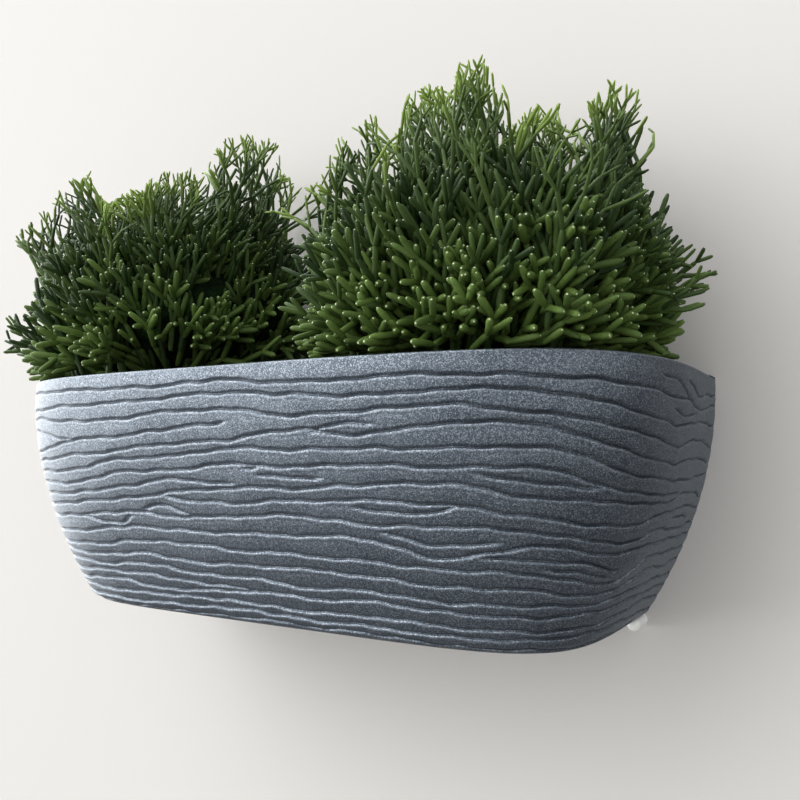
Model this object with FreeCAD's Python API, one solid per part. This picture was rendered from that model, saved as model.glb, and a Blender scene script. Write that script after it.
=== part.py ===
"""Wall planter: a D-shaped moulded shell that hangs on a wall rail and two corner pegs,
with two potted jointed-stem plants that lift out.

Units are millimetres. X runs along the wall, +Y points into the wall, +Z is up.
The origin is on the wall face, midway between the two screws of the wall rail.
"""

import FreeCAD
import Part

import math
import os

Vec = FreeCAD.Vector
UP = Vec(0, 0, 1)
INTO_WALL = Vec(0, 1, 0)
OUT_OF_WALL = Vec(0, -1, 0)

# ---- planter shell ----
RIM_WIDTH = 400.0
RIM_DEPTH = 165.0
BASE_WIDTH = 320.0
BASE_DEPTH = 128.0
SHELL_HEIGHT = 130.0
SIDE_SWELL = 2.1          # power of the curve that the ends follow from base to rim
FRONT_SWELL = 1.5         # the same for the front
RIM_SQUARENESS = 4.4      # power of the plan outline at the rim: 2 is an ellipse
BASE_SQUARENESS = 6.0
SHELL_WALL = 2.6
SHELL_FLOOR = 3.0
FOOT_HEIGHT = 4.0         # the floor stands this far above the foot ring
FOOT_WIDTH = 9.0
BASE_ROUND = 5.0          # round of the foot ring's outer edge
BACK_RECESS = 12.0        # room between the wall and the back panel
WALL_FACE_GAP = 0.4       # the shell's skirt stays this far off the wall
TOP_FLANGE = 3.0          # closes the recess at the rim
SECTION_POINTS = 17       # points on one plan outline
SECTION_SHARES = (0.0, 0.14, 0.34, 0.62, 1.0)

# ---- wall rail and the lip that hangs on it ----
SCREWS_BELOW_RIM = 34.0   # from the shell's rim down to the rail's screws
RAIL_LENGTH = 260.0
RAIL_SHEET = 2.0
RAIL_BELOW_SCREWS = 14.0
RAIL_POCKET = 6.5         # between the wall and the rail's upturned edge
RAIL_SHELF_TOP = 12.0     # of the shelf that carries the shell, above the screws
RAIL_EDGE_HEIGHT = 12.0
RAIL_SCREW_SPACING = 200.0
LIP_THICKNESS = 2.5
LIP_LENGTH = 220.0
LIP_DROP = 12.0
LIP_CLEARANCE = 0.8       # between the lip and the wall side of the pocket
SEAT_GAP = 0.2            # between pieces that rest on each other

# ---- screws ----
SCREW_RADIUS = 2.0
SCREW_NECK_RADIUS = 2.2   # under the head, where the screw fills the rail's hole
SCREW_LENGTH = 36.0
SCREW_HEAD_RADIUS = 4.0
SCREW_HEAD_HEIGHT = 2.6
SCREW_HOLE_RADIUS = 2.4
SCREW_POINT = 6.0
PLAIN_SHANK = 8.0         # of a screw or pin from the wall face to its first ring
THREAD_DEPTH = 0.5
THREAD_PITCH = 2.5
RECESS_WIDTH = 1.1
RECESS_DEPTH = 1.5

# ---- corner pegs ----
PEG_RADIUS = 3.5
PEG_LENGTH = 19.0
PEG_AXIS_HEIGHT = -1.0    # from the foot of the shell, below it when negative
PEG_INSET = 1.0           # of a peg's axis inside the end of the shell's foot
PIN_RADIUS = 1.75
PIN_IN_PEG_RADIUS = 1.5
PIN_IN_PEG = 13.0
PIN_IN_WALL = 28.0
PIN_FIT = 0.06
PIN_END_GAP = 1.2
NOTCH_GAP = 0.9           # between a peg and the arch of its notch
NOTCH_LENGTH = 38.0
NOTCH_WALL = 2.2          # lining that keeps the notch out of the shell's inside

# ---- drain plug ----
DRAIN_Y = -70.0
DRAIN_RADIUS = 6.0
DRAIN_FIT = 0.15
DRAIN_FLANGE_RADIUS = 9.0
DRAIN_FLANGE = 2.2
DRAIN_STEM_ABOVE = 4.0

# ---- nursery pots, soil and plants ----
POT_X = 92.0
POT_Y = -82.0
POT_HEIGHT = 112.0
POT_TOP_RADIUS = 62.0
POT_BASE_RADIUS = 45.0
POT_WALL = 1.2
POT_FLOOR = 1.6
POT_LIP = 3.0
POT_LIP_HEIGHT = 7.0
POT_HOLE_RADIUS = 4.0
POT_HOLE_CIRCLE = 30.0
POT_HOLES = 6
SOIL_BELOW_LIP = 12.0
SOIL_GAP = 0.1

# ---- plants: a neck of bare stems, a crown, upright fans of stems and sprigs that reach out ----
CROWN_OVER_RIM = 1.2      # the crowns stay this far above the shell's rim and the pots
CROWN_OFF_WALL = 5.0
CROWN_SPLIT_X = -12.0     # the plants part here
CROWN_GAP = 24.0
CROWN_LEFT_REACH = 203.0  # from the middle of the shell to the left crown's end
CROWN_RIGHT_REACH = 195.0
CROWN_FRONT_REACH = 164.0
CROWN_HEIGHT = 108.0      # of the crown above its underside
CROWN_TILT = 0.16         # the crown is lower by this share at the front, and higher at the back
CROWN_SQUARENESS = 2.1
CROWN_POINTS = 24
CROWN_SHARES = (0.0, 0.15, 0.45, 0.75, 0.93, 1.0)
CROWN_WIDTHS = (0.92, 1.0, 0.97, 0.88, 0.72, 0.5)
CROWN_LOBES = 5
CROWN_LOBE_DEPTH = 0.04
NECK_RADIUS = 40.0        # where the stems pass the pot's mouth
FAN_FOOT_RADIUS = 15.0
FAN_TIP_RADIUS = 5.0
FAN_SUNK = 45.0           # depth of a fan's foot in the crown
FAN_FOOT_SHARE = 0.75     # how far out its foot is, as a share of its tip's way out
ARM_FOOT_SHARE = 0.45
NECK_IN_CROWN = 8.0
ARM_FOOT_HEIGHT = 40.0    # of an arm's foot above the crown's underside
# each fan: its tip's share of the crown's half width and half depth, and its height over the crown
LEFT_FANS = (
    (-1.08, -0.32, 23.0), (-0.74, -0.32, 33.0), (-0.41, -0.13, 27.0), (0.04, 0.0, 32.0),
    (0.51, 0.0, 46.0), (0.84, 0.0, 37.0), (-0.07, 0.43, 33.0),
)
RIGHT_FANS = (
    (-0.85, 0.0, 37.0), (-0.60, 0.0, 40.0), (-0.32, 0.0, 44.0), (-0.03, 0.0, 53.0),
    (0.23, 0.0, 35.0), (0.54, 0.0, 23.0), (0.85, 0.0, 20.0), (0.23, 0.56, 34.0),
)
# each arm: its tip's share of the half width and half depth, and its height over the underside
LEFT_ARMS = ((-1.47, -0.30, 37.0), (-1.39, -0.31, 65.0), (-1.33, -0.32, 105.0))
RIGHT_ARMS = ((1.16, 0.0, 31.0), (1.09, 0.0, 51.0), (1.0, 0.0, 71.0))

RIM_Z = SCREWS_BELOW_RIM
BASE_Z = RIM_Z - SHELL_HEIGHT
FLOOR_TOP = BASE_Z + FOOT_HEIGHT + SHELL_FLOOR
PANEL_FRONT = -(BACK_RECESS + SHELL_WALL)
FAR = 400.0


def box(x, y, z):
    """A box from three (low, high) pairs."""
    return Part.makeBox(x[1] - x[0], y[1] - y[0], z[1] - z[0], Vec(x[0], y[0], z[0]))


def cylinder(radius, start, length, axis):
    return Part.makeCylinder(radius, length, start, axis)


def turned(profile, axis_point, axis):
    """A solid of revolution from a closed list of (radius, along) pairs about +Z, then laid on axis."""
    points = [Vec(r, 0, a) for r, a in profile]
    face = Part.Face(Part.makePolygon(points + points[:1]))
    solid = face.revolve(Vec(0, 0, 0), UP, 360)
    solid.Placement = FreeCAD.Placement(axis_point, FreeCAD.Rotation(UP, axis))
    return solid


def fused(shapes):
    whole = shapes[0]
    for shape in shapes[1:]:
        whole = whole.fuse(shape)
    return whole.removeSplitter()


def plan_outline(height, inset):
    """The closed D outline of the shell at a height above its foot, moved in by inset."""
    share = min(max(height / SHELL_HEIGHT, 0.0), 1.0)
    left = 1.0 - share
    half = RIM_WIDTH / 2 - (RIM_WIDTH - BASE_WIDTH) / 2 * left ** SIDE_SWELL - inset
    depth = RIM_DEPTH - (RIM_DEPTH - BASE_DEPTH) * left ** FRONT_SWELL - inset
    power = BASE_SQUARENESS + (RIM_SQUARENESS - BASE_SQUARENESS) * share
    z = BASE_Z + height
    points = []
    for i in range(SECTION_POINTS):
        angle = math.pi * i / (SECTION_POINTS - 1)
        c, s = math.cos(angle), math.sin(angle)
        reach = (abs(c) ** power + abs(s) ** power) ** (-1 / power)
        points.append(Vec(half * reach * c, -depth * reach * s, z))
    points[0] = Vec(half, 0, z)
    points[-1] = Vec(-half, 0, z)
    curve = Part.BSplineCurve()
    curve.interpolate(
        Points=points,
        InitialTangent=OUT_OF_WALL * depth * 2,
        FinalTangent=INTO_WALL * depth * 2,
    )
    return Part.Wire([curve.toShape(), Part.makeLine(points[-1], points[0])])


def d_solid(heights, insets):
    """The shell's outer form between the first and last height, with an inset at each."""
    wires = [plan_outline(h, i) for h, i in zip(heights, insets)]
    return Part.makeLoft(wires, True, False)


def rounded_foot():
    """The lowest part of the outer form, rounded like a quarter circle."""
    steps = [BASE_ROUND * (1 - math.cos(math.radians(a))) for a in (0, 30, 60, 90)]
    insets = [BASE_ROUND - math.sqrt(BASE_ROUND**2 - (BASE_ROUND - h) ** 2) for h in steps]
    return d_solid(steps, insets)


def outer_form():
    span = SHELL_HEIGHT - BASE_ROUND
    heights = [BASE_ROUND + span * s for s in SECTION_SHARES]
    return rounded_foot().fuse(d_solid(heights, [0.0] * len(heights)))


def inner_form(inset):
    heights = [-1.0] + [SHELL_HEIGHT * s for s in SECTION_SHARES[1:]]
    core = d_solid(heights, [inset] * len(heights))
    top = plan_outline(SHELL_HEIGHT, inset)
    return core.fuse(Part.Face(top).extrude(UP * 2.0))


def notch_axis(side):
    return Vec(side * (BASE_WIDTH / 2 - PEG_INSET), 0, BASE_Z + PEG_AXIS_HEIGHT)


def notch_tool(side, radius, length):
    """An arch along Y that is open at the foot of the shell."""
    centre = notch_axis(side)
    arch = cylinder(radius, centre + INTO_WALL, length + 1, OUT_OF_WALL)
    slot = box(
        (centre.x - radius, centre.x + radius), (-length, 1.0), (BASE_Z - 10, centre.z)
    )
    return arch.fuse(slot)


def planter_shell():
    outer = outer_form()
    inner = inner_form(SHELL_WALL)
    cavity = inner.common(
        box((-FAR, FAR), (-FAR, PANEL_FRONT), (FLOOR_TOP, RIM_Z + 2))
    )
    recess = inner.common(
        box((-FAR, FAR), (-BACK_RECESS, 5), (BASE_Z - 2, RIM_Z - TOP_FLANGE))
    )
    foot_hollow = inner_form(FOOT_WIDTH).common(
        box((-FAR, FAR), (-FAR, PANEL_FRONT), (BASE_Z - 2, BASE_Z + FOOT_HEIGHT))
    )
    shell = outer.cut(cavity).cut(recess).cut(foot_hollow)
    arch = PEG_RADIUS + NOTCH_GAP
    for side in (-1, 1):
        lining = notch_tool(side, arch + NOTCH_WALL, NOTCH_LENGTH + NOTCH_WALL)
        shell = shell.fuse(lining.common(outer))
        shell = shell.cut(notch_tool(side, arch, NOTCH_LENGTH))
    shell = shell.cut(box((-FAR, FAR), (-WALL_FACE_GAP, 5), (BASE_Z - 10, RIM_Z + 10)))
    shell = shell.fuse(hanging_lip())
    hole = cylinder(DRAIN_RADIUS, Vec(0, DRAIN_Y, BASE_Z - 1), FAR / 4, UP)
    hole = hole.common(box((-FAR, FAR), (-FAR, 0), (BASE_Z - 1, FLOOR_TOP + 1)))
    return shell.cut(hole).removeSplitter()


def hanging_lip():
    """The rib and down-turned lip inside the recess that hang on the rail."""
    lip_back = -(RAIL_POCKET - LIP_THICKNESS) + LIP_CLEARANCE
    lip_low = RAIL_SHELF_TOP + SEAT_GAP
    rib_low = lip_low + LIP_DROP + 1.0
    half = LIP_LENGTH / 2
    lip = box(
        (-half, half), (lip_back - LIP_THICKNESS, lip_back), (lip_low, rib_low + LIP_THICKNESS)
    )
    rib = box((-half, half), (-BACK_RECESS, lip_back), (rib_low, rib_low + LIP_THICKNESS))
    return lip.fuse(rib)


def wall_rail():
    half = RAIL_LENGTH / 2
    plate = box((-half, half), (-RAIL_SHEET, 0), (-RAIL_BELOW_SCREWS, RAIL_SHELF_TOP))
    shelf = box(
        (-half, half),
        (-RAIL_POCKET - RAIL_SHEET, 0),
        (RAIL_SHELF_TOP - RAIL_SHEET, RAIL_SHELF_TOP),
    )
    edge = box(
        (-half, half),
        (-RAIL_POCKET - RAIL_SHEET, -RAIL_POCKET),
        (RAIL_SHELF_TOP - RAIL_SHEET, RAIL_SHELF_TOP + RAIL_EDGE_HEIGHT),
    )
    rail = fused([plate, shelf, edge])
    for side in (-1, 1):
        hole = cylinder(SCREW_HOLE_RADIUS, rail_screw_point(side) + INTO_WALL, 6, OUT_OF_WALL)
        rail = rail.cut(hole)
    return rail


def rail_screw_point(side):
    return Vec(side * RAIL_SCREW_SPACING / 2, 0, 0)


def thread_rings(radius, start, end):
    """(radius, along) pairs of thread rings and a point, from start to end along a shank."""
    core = radius - THREAD_DEPTH
    pairs = []
    along = start
    while along + THREAD_PITCH < end - SCREW_POINT:
        pairs += [(core, along + THREAD_PITCH * 0.2), (core, along + THREAD_PITCH * 0.7)]
        pairs += [(radius, along + THREAD_PITCH)]
        along += THREAD_PITCH
    return pairs + [(core, along + THREAD_PITCH * 0.2), (0, end)]


def screw_profile():
    """(radius, along) pairs of a pan-head screw: along is 0 under the head, positive into the wall."""
    profile = [(0, -SCREW_HEAD_HEIGHT), (SCREW_HEAD_RADIUS * 0.7, -SCREW_HEAD_HEIGHT)]
    profile += [(SCREW_HEAD_RADIUS, -SCREW_HEAD_HEIGHT * 0.6), (SCREW_HEAD_RADIUS, 0)]
    plain = RAIL_SHEET + PLAIN_SHANK
    profile += [(SCREW_NECK_RADIUS, 0), (SCREW_NECK_RADIUS, RAIL_SHEET)]
    profile += [(SCREW_RADIUS, RAIL_SHEET), (SCREW_RADIUS, plain)]
    return profile + thread_rings(SCREW_RADIUS, plain, SCREW_LENGTH)


def rail_screws():
    screws = []
    for side in (-1, 1):
        seat = rail_screw_point(side) + OUT_OF_WALL * RAIL_SHEET
        screw = turned(screw_profile(), seat, INTO_WALL)
        front = seat + OUT_OF_WALL * SCREW_HEAD_HEIGHT
        arm = SCREW_HEAD_RADIUS * 0.55
        for x_half, z_half in ((arm, RECESS_WIDTH / 2), (RECESS_WIDTH / 2, arm)):
            slot = box(
                (front.x - x_half, front.x + x_half),
                (front.y - 1, front.y + RECESS_DEPTH),
                (front.z - z_half, front.z + z_half),
            )
            screw = screw.cut(slot)
        screws.append(screw)
    return Part.makeCompound(screws)


def peg_pins():
    """The steel pins that carry the pegs: plain in the peg, ringed and pointed in the wall."""
    pins = []
    for side in (-1, 1):
        profile = [(0, -PIN_IN_PEG), (PIN_IN_PEG_RADIUS, -PIN_IN_PEG), (PIN_IN_PEG_RADIUS, 0)]
        profile += [(PIN_RADIUS, 0), (PIN_RADIUS, PLAIN_SHANK)]
        profile += thread_rings(PIN_RADIUS, PLAIN_SHANK, PIN_IN_WALL)
        pins.append(turned(profile, notch_axis(side), INTO_WALL))
    return Part.makeCompound(pins)


def corner_peg(side):
    """A round-nosed peg with a blind bore for its pin."""
    point = notch_axis(side)
    straight = PEG_LENGTH - PEG_RADIUS
    body = cylinder(PEG_RADIUS, point, straight, OUT_OF_WALL)
    nose = Part.makeSphere(PEG_RADIUS, point + OUT_OF_WALL * straight)
    bore = cylinder(
        PIN_IN_PEG_RADIUS + PIN_FIT, point + INTO_WALL, 1 + PIN_IN_PEG + PIN_END_GAP, OUT_OF_WALL
    )
    return fused([body, nose]).cut(bore)


def drain_plug():
    """A rubber bung pushed up through the floor from below."""
    top = SHELL_FLOOR + DRAIN_STEM_ABOVE
    stem = DRAIN_RADIUS - DRAIN_FIT
    low = BASE_Z + FOOT_HEIGHT - SEAT_GAP - DRAIN_FLANGE
    profile = [
        (0, 0),
        (DRAIN_FLANGE_RADIUS, 0),
        (DRAIN_FLANGE_RADIUS, DRAIN_FLANGE),
        (stem, DRAIN_FLANGE),
        (stem, DRAIN_FLANGE + SHELL_FLOOR + 0.6),
        (stem * 0.75, DRAIN_FLANGE + top),
        (0, DRAIN_FLANGE + top),
    ]
    return turned(profile, Vec(0, DRAIN_Y, low), UP)


def pot_base(side):
    return Vec(side * POT_X, POT_Y, FLOOR_TOP + SEAT_GAP)


def pot_radius(along):
    return POT_BASE_RADIUS + (POT_TOP_RADIUS - POT_BASE_RADIUS) * along / POT_HEIGHT


def nursery_pot(side):
    lip_low = POT_HEIGHT - POT_LIP_HEIGHT
    pot = turned(
        [
            (0, 0),
            (pot_radius(0), 0),
            (pot_radius(lip_low), lip_low),
            (POT_TOP_RADIUS + POT_LIP, lip_low),
            (POT_TOP_RADIUS + POT_LIP, POT_HEIGHT),
            (pot_radius(POT_HEIGHT) - POT_WALL, POT_HEIGHT),
            (pot_radius(POT_FLOOR) - POT_WALL, POT_FLOOR),
            (0, POT_FLOOR),
        ],
        pot_base(side),
        UP,
    )
    for i in range(POT_HOLES):
        angle = 2 * math.pi * (i + 0.5) / POT_HOLES
        centre = pot_base(side) + Vec(math.cos(angle), math.sin(angle), 0) * POT_HOLE_CIRCLE
        pot = pot.cut(cylinder(POT_HOLE_RADIUS, centre - UP, POT_FLOOR + 3, UP))
    return pot


def soil(side):
    top = POT_HEIGHT - SOIL_BELOW_LIP
    inset = POT_WALL + SOIL_GAP
    return turned(
        [
            (0, POT_FLOOR),
            (pot_radius(POT_FLOOR) - inset, POT_FLOOR),
            (pot_radius(top) - inset, top),
            (0, top),
        ],
        pot_base(side),
        UP,
    )


def crown_middle(side):
    """The middle of a crown's underside, with its half width and half depth."""
    outer_x = -CROWN_LEFT_REACH if side < 0 else CROWN_RIGHT_REACH
    inner_x = CROWN_SPLIT_X + side * CROWN_GAP / 2
    half_depth = (CROWN_FRONT_REACH - CROWN_OFF_WALL) / 2
    highest = max(RIM_Z, pot_base(side).z + POT_HEIGHT)
    middle = Vec((outer_x + inner_x) / 2, -CROWN_OFF_WALL - half_depth, highest + CROWN_OVER_RIM)
    return middle, abs(outer_x - inner_x) / 2, half_depth


def crown_section(side, share, width):
    """A closed, gently lobed outline of a crown at a share of its height."""
    middle, half_width, half_depth = crown_middle(side)
    points = []
    for i in range(CROWN_POINTS):
        angle = 2 * math.pi * i / CROWN_POINTS
        c, s = math.cos(angle), math.sin(angle)
        reach = (abs(c) ** CROWN_SQUARENESS + abs(s) ** CROWN_SQUARENESS) ** (-1 / CROWN_SQUARENESS)
        lobe = 1 - CROWN_LOBE_DEPTH * (1 + math.cos(CROWN_LOBES * angle + 3 * share * side))
        reach *= lobe * width
        height = CROWN_HEIGHT * share * (1 + CROWN_TILT * reach * s)
        points.append(middle + Vec(half_width * reach * c, half_depth * reach * s, height))
    curve = Part.BSplineCurve()
    curve.interpolate(Points=points, PeriodicFlag=True)
    return Part.Wire([curve.toShape()])


def tapered(foot, tip):
    """A round-ended taper that stands for one fan or arm of stems."""
    lean = tip - foot
    length = lean.Length - FAN_TIP_RADIUS
    ball = foot + lean * (length / lean.Length)
    cone = Part.makeCone(FAN_FOOT_RADIUS, FAN_TIP_RADIUS, length, foot, lean)
    return cone.fuse(Part.makeSphere(FAN_TIP_RADIUS, ball))


def plant(side):
    """A closed body that fills the space of one plant's stems."""
    middle, half_width, half_depth = crown_middle(side)
    sections = [crown_section(side, *pair) for pair in zip(CROWN_SHARES, CROWN_WIDTHS)]
    crown = Part.makeLoft(sections, True, False)
    for x_share, y_share, height in RIGHT_FANS if side > 0 else LEFT_FANS:
        tip = Vec(half_width * x_share, half_depth * y_share, CROWN_HEIGHT + height)
        foot = Vec(tip.x * FAN_FOOT_SHARE, tip.y * FAN_FOOT_SHARE, CROWN_HEIGHT - FAN_SUNK)
        crown = crown.fuse(tapered(middle + foot, middle + tip))
    for x_share, y_share, height in RIGHT_ARMS if side > 0 else LEFT_ARMS:
        tip = Vec(half_width * x_share, half_depth * y_share, height)
        foot = Vec(tip.x * ARM_FOOT_SHARE, tip.y * ARM_FOOT_SHARE, ARM_FOOT_HEIGHT)
        crown = crown.fuse(tapered(middle + foot, middle + tip))
    neck_low = pot_base(side) + UP * (POT_HEIGHT - SOIL_BELOW_LIP + SOIL_GAP)
    neck = cylinder(NECK_RADIUS, neck_low, middle.z - neck_low.z + NECK_IN_CROWN, UP)
    return crown.fuse(neck).removeSplitter()


def main():
    os.makedirs("parts", exist_ok=True)
    nodes = {
        "planter_shell": planter_shell(),
        "drain_plug": drain_plug(),
        "wall_rail": wall_rail(),
        "rail_screws": rail_screws(),
        "corner_peg_left": corner_peg(-1),
        "corner_peg_right": corner_peg(1),
        "peg_pins": peg_pins(),
        "nursery_pot_left": nursery_pot(-1),
        "nursery_pot_right": nursery_pot(1),
        "soil_left": soil(-1),
        "soil_right": soil(1),
        "plant_left": plant(-1),
        "plant_right": plant(1),
    }
    for name, shape in nodes.items():
        if not shape.isValid():
            print("not valid:", name)
        print(name, len(shape.Solids), round(shape.Volume / 1000, 2), "cm3")
        shape.exportStep(os.path.join("parts", name + ".step"))


main()
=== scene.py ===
"""Dresses the wall planter: the carved and speckled shell, the rail and pegs that hold it,
the two potted plants with their forking round stems, and the pale wall behind them.

The part's own frame: X along the wall, +Y into the wall, +Z up. The planter's and the plants'
sizes are written in millimetres, as a maker would, and scaled by MM. The stage, the lamp and the
camera are in metres.
"""

import math
from collections import namedtuple

import bmesh
import bpy
import numpy as np
from mathutils import Matrix, Vector


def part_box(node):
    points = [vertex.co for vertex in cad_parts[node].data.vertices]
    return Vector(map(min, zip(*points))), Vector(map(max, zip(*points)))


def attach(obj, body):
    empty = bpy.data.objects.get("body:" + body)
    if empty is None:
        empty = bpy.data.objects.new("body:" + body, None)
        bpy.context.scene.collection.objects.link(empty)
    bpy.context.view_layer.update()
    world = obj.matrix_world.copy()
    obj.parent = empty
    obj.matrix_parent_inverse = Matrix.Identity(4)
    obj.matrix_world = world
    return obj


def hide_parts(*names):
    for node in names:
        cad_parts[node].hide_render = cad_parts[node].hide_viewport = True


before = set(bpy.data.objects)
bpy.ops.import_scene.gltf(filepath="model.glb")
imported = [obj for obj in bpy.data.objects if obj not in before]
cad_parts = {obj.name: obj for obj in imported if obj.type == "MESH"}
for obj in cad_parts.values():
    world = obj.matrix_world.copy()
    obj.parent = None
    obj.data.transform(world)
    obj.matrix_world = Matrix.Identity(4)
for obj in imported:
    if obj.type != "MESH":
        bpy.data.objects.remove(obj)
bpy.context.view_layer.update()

MM = 0.001
FULL_TURN = 2 * math.pi

# ---- the shell, as it is moulded ----
RIM_WIDTH, RIM_DEPTH = 400.0, 165.0
BASE_WIDTH, BASE_DEPTH = 320.0, 128.0
SHELL_HEIGHT = 130.0
SIDE_SWELL, FRONT_SWELL = 2.1, 1.5             # 1 is a straight side, and more swells it
RIM_SQUARENESS, BASE_SQUARENESS = 4.4, 6.0     # 2 is an oval, and more is squarer
SHELL_WALL = 2.6
BASE_ROUND = 5.0
RIM_ROUND = 1.2
WALL_FACE_GAP = 0.4
PANEL_FRONT = -14.6
FOOT_Z = -96.0
RIM_Z = FOOT_Z + SHELL_HEIGHT
PEG_X = 159.0
PEG_Z = FOOT_Z - 1.0
NOTCH_RADIUS = 4.4
NOTCH_LENGTH = 38.0

# ---- the skin: the carved outside of the shell, as rows and columns of points ----
SKIN_COLUMNS = 344
SKIN_ROWS = 262
RIM_STEPS = 8
FOOT_STEPS = 10
LAP = 4.0                 # how far the skin laps down inside the rim
LAP_GAPS = (0.05, 0.02)   # how far it stands off the inner wall at the lap's foot and top
UNDER_FOOT = 2.5          # how far it reaches in under the foot ring
UNDER_FOOT_GAP = 0.05     # and how far below the ring, so that the two faces stay apart
PLAIN_RIM = 3.0           # the rim stays plain this far down, and the bands swell below it
PLAIN_RIM_FADE = 4.0

# ---- the carved grooves ----
CUT_DEPTH = 1.35
UPPER_BANK = 0.75         # a groove is steep above and gentle below, so its lower bank is lit
LOWER_BANK = 1.25
LIP_HEIGHT = 0.18
LIP_PLACE = 1.9           # of the raised lip, below the groove
LIP_WIDTH = 0.75
PILLOW = 0.3              # how far the bands between the grooves swell
PILLOW_WIDTH = 3.4
UNCUT = 50.0              # a distance from the grooves at which their banks have long ended
RUN_OUT = 3.0             # how far a cut runs past its last point while it dies out
CUT_END_TAPER = 5.0
CUT_END_FADE = 8.0
CUT_VARIES = 0.12         # share by which a cut's depth comes and goes along it
CUT_VARIES_RATE = 0.11    # radians per millimetre, here and in the waves
LONG_WAVE, LONG_WAVE_RATE = 0.42, 0.15
SHORT_WAVE, SHORT_WAVE_RATE = 0.22, 0.34
WAVE_DRIFT, WAVE_DRIFT_RATE = 1.6, 0.031
STATION = 40.0            # grooves are set out at heights this far apart along the shell
END_STATION = 8 * STATION
PAST_THE_END = 2.0        # a groove that reaches the last station runs off the shell's end
# each groove: where it starts along the shell from the middle, then its heights above the foot
GROOVES = (
    (-320, 120, 121.5, 122, 121, 123, 122.3, 121.8, 121.5, 123, 120, 120.5, 120.5, 119, 117, 113.6),
    (-320, 112, 113.5, 112, 111, 112.6, 113.8, 114, 115.5, 116.8, 114.8, 112.8, 114.2, 113, 106.5,
     101.5, 104.5, 104.5),
    (-320, 104, 105.5, 104.5, 106, 108, 105.5, 105.5, 108.3, 109, 105.2, 106.3, 108, 104, 98.5, 92,
     96, 93),
    (-320, 96, 96.5, 95, 99.5, 100.5, 95),
    (-240, 95, 90, 88.5, 94.6, 96.3, 99.7, 102.7),
    (-320, 87, 88, 86, 83, 83.5, 86.5, 89, 92.5, 94, 98.5, 96, 100.5, 99, 89, 84.3, 87, 85),
    (-320, 79.5, 80, 78.5, 76.5, 77.3, 78.5, 84.5, 86, 90, 89.5, 90, 90, 90.5, 80.5, 77, 77, 80),
    (-320, 71.5, 72.5, 72, 70.5, 70.8, 71.5, 77.7, 79, 82.5, 81.5, 83, 82, 82, 72.5, 70.6),
    (-320, 66, 65.5, 66.5, 65, 64.2, 66, 70, 74.5, 72.5),
    (-320, 60, 58.5, 60.5, 59.5, 58, 60.8, 63.7, 68, 71, 71.5, 74, 75.3, 70, 68.3, 66.5, 70.5, 67.3),
    (-320, 54, 52, 54.5, 53, 51.5, 53.5, 56.5, 55, 57, 58.8, 56.3, 57, 56, 50.5, 54.5, 52.7, 54.8),
    (-40, 64, 63.5, 66, 67, 66.3, 62, 58, 61.5, 63.5, 61.5),
    (-320, 46.5, 45, 47, 44.5, 42.5, 45, 48.5, 48, 48.5, 49.5, 49.5, 43, 50, 46, 48.5, 48, 48),
    (-320, 40, 38.5, 39.5, 37, 36, 37, 40.8, 41, 39.8, 40, 39.3, 38.2, 38, 33, 41.5, 41, 41),
    (-320, 33.5, 32.5, 33, 31.5, 31.3, 31.3, 34, 31.5, 32.5, 33, 32.3, 30.5, 31, 28, 35.3, 33.5, 35),
    (-320, 27, 27, 27.5, 26.5, 26.3, 26, 28.2, 25.5, 26, 23.8, 25.3, 23.3, 24, 24, 27.5, 27.5, 25.5),
    (-320, 20.5, 21.5, 22, 20.5, 20.5, 22, 22, 20.3, 19.5, 18.5, 20.3, 19, 18.5, 20, 22, 21.5, 20.5),
    (-200, 16, 15, 17.7, 15.2, 16.5, 19),
    (-320, 13, 15, 14.5, 12, 11.3, 10.8, 11.5, 12.5, 12.5, 11.5, 13, 12.2, 12, 13, 16, 16.8, 13),
    (-320, 6.5, 8.5, 8.5, 6.5, 6, 5.8, 6.5, 7.8, 8.5, 7.3, 8, 7.5, 8, 9.3, 10, 8.8, 6.5),
    (-320, 2.5, 4, 4, 2.5, 2, 2, 2.5, 3, 4, 3.5, 4, 3, 2.8, 3, 4.3, 4),
)
# short cuts that fork off a groove, close a loop beside it or die out: (along, height) points
FORKS = (
    ((-124, 52.6), (-112, 50.4), (-98, 50.4), (-86, 51), (-82, 53.2)),
    ((-67, 58), (-61, 60.8), (-52, 60.8), (-43, 58.6), (-35, 56)),
    ((-47, 65.4), (-40, 64), (-30, 62.9)),
    ((11, 80.4), (16, 80.8), (20, 82.8)),
    ((20, 77.4), (32, 76.6), (46, 76), (54, 76.4)),
    ((54, 96.6), (59, 99.6), (66, 100.8), (77, 101.3), (84, 99.9)),
    ((76, 63.2), (85, 62.1), (100, 61.9), (112, 62.8), (122, 65.4)),
    ((90, 52.6), (105, 50.3), (120, 48.6), (130, 49.3), (143, 51)),
    ((140, 43.6), (160, 43.8), (178, 43.3), (190, 41.3), (204, 38)),
    ((168, 40), (180, 38.6), (192, 36.6), (201, 35.4)),
    ((134, 79), (150, 77.6), (165, 75.7), (182, 73.4)),
    ((224, 122.3), (238, 121.4), (250, 118), (263, 113.5), (280, 110.5), (300, 112.5), (322, 115.6)),
    ((257, 123), (264, 120.8), (271, 118.1), (285, 117.4), (300, 119), (320, 120.8)),
    ((236, 108.6), (245, 107), (256, 106.6), (271, 108)),
    ((240, 70.6), (250, 71.2), (258, 70.6)),
    ((240, 113.6), (252, 114.6), (262, 113.8)),
    ((262, 58.9), (276, 59), (293, 57.6)),
    ((-300, 57), (-285, 56.6), (-268, 57.6)),
    ((-262, 84), (-245, 82), (-228, 81.6), (-214, 79.4)),
    ((-232, 44), (-218, 41.4), (-204, 40.9)),
)

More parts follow.
